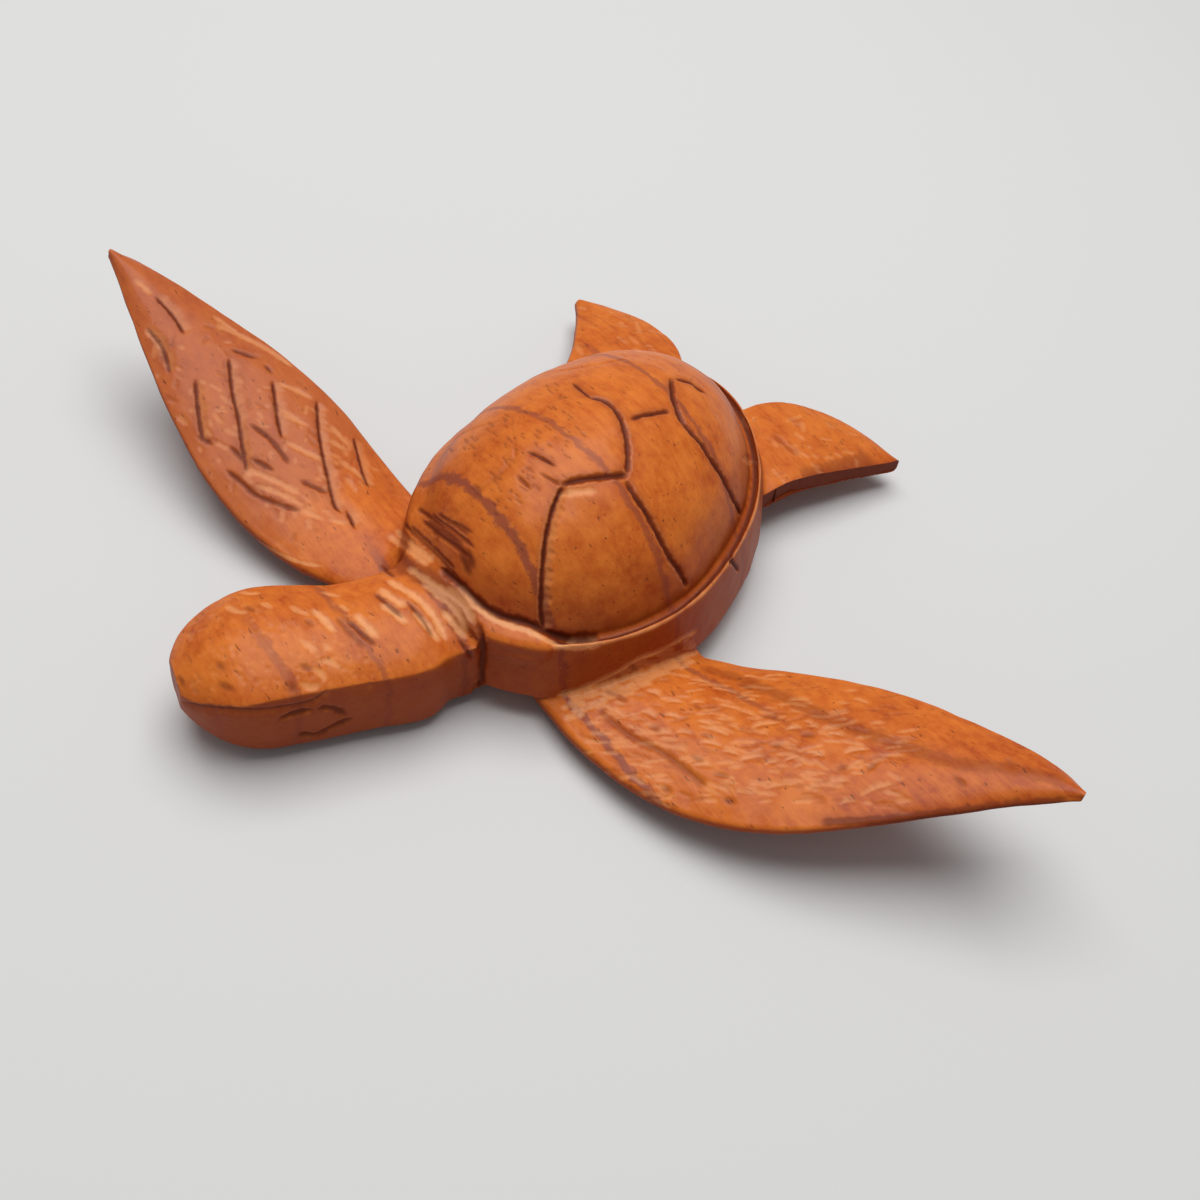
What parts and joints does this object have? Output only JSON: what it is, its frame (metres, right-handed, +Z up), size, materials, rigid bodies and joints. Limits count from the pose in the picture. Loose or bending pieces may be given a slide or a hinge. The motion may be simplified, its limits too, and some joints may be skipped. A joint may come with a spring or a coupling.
{
  "type": "turtle figurine",
  "caption": "Carved wooden sea turtle with domed shell, turned head and raised front flippers, built from pegged pieces that rest on a flat belly.",
  "frame": {"origin": "middle of the flat belly's widest rectangle, on the surface it rests on", "axes": "+Z up, -Y towards the head, +X towards the turtle's own left"},
  "size_m": [0.2, 0.1344, 0.037],
  "materials": {
    "stained_wood": "satin",
    "peg_wood": "matte"
  },
  "bodies": {
    "root": {"body": "stained_wood", "head_and_neck": "stained_wood", "front_flipper_left": "stained_wood", "front_flipper_right": "stained_wood", "rear_flipper_left": "stained_wood", "rear_flipper_right": "stained_wood", "neck_peg_1": "peg_wood", "neck_peg_2": "peg_wood", "front_left_peg_1": "peg_wood", "front_left_peg_2": "peg_wood", "front_right_peg_1": "peg_wood", "front_right_peg_2": "peg_wood", "rear_left_peg_1": "peg_wood", "rear_left_peg_2": "peg_wood", "rear_right_peg_1": "peg_wood", "rear_right_peg_2": "peg_wood"}
  },
  "joints": []
}
